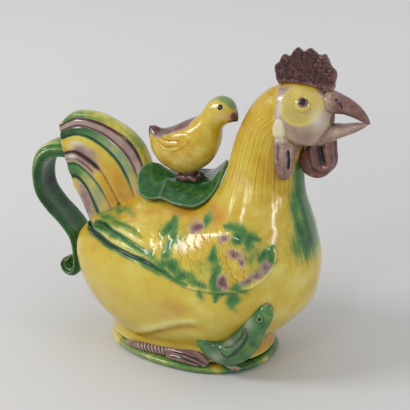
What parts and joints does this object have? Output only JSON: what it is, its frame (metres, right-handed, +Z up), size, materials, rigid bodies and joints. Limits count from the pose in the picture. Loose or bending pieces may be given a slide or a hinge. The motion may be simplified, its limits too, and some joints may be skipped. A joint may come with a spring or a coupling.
{
  "type": "covered ewer",
  "caption": "Seated hen ewer in coloured lead glazes with a strap handle, open beak spout, flat foot and a lift-off leaf lid topped by a chick.",
  "frame": {"origin": "middle of the foot's flat underside", "axes": "+X towards the beak, +Y to the hen's left, +Z up"},
  "size_m": [0.1765, 0.085, 0.1589],
  "materials": {
    "glaze_yellow": "glossy",
    "glaze_green": "glossy",
    "glaze_aubergine": "glossy",
    "glaze_grey_aubergine": "glossy",
    "glaze_olive": "glossy",
    "glaze_pale_green": "glossy",
    "glaze_black": "glossy"
  },
  "bodies": {
    "ewer": {"body_right_half": "glaze_yellow", "body_left_half": "glaze_yellow", "neck_right_half": "glaze_yellow", "neck_left_half": "glaze_yellow", "foot_slab": "glaze_green", "mouth_collar": "glaze_yellow", "tail_fan": "glaze_olive", "handle": "glaze_green", "right_wing": "glaze_yellow", "left_wing": "glaze_yellow", "comb": "glaze_aubergine", "upper_beak": "glaze_aubergine", "lower_beak": "glaze_grey_aubergine", "right_wattle": "glaze_aubergine", "left_wattle": "glaze_aubergine", "right_ear_lobe": "glaze_grey_aubergine", "left_ear_lobe": "glaze_grey_aubergine", "right_eye": "glaze_black", "left_eye": "glaze_black", "right_foot": "glaze_grey_aubergine", "left_foot": "glaze_grey_aubergine", "relief_chick": "glaze_pale_green"},
    "lid": {"lid_leaf": "glaze_green", "lid_flange": "glaze_yellow", "perch_mound": "glaze_aubergine", "finial_chick": "glaze_yellow", "chick_right_wing": "glaze_yellow", "chick_left_wing": "glaze_yellow"}
  },
  "joints": [
    {"name": "lid_lift", "type": "slide", "parent": "ewer", "child": "lid", "axis": [0, 0, 1], "range_m": [0, 0.06]}
  ]
}
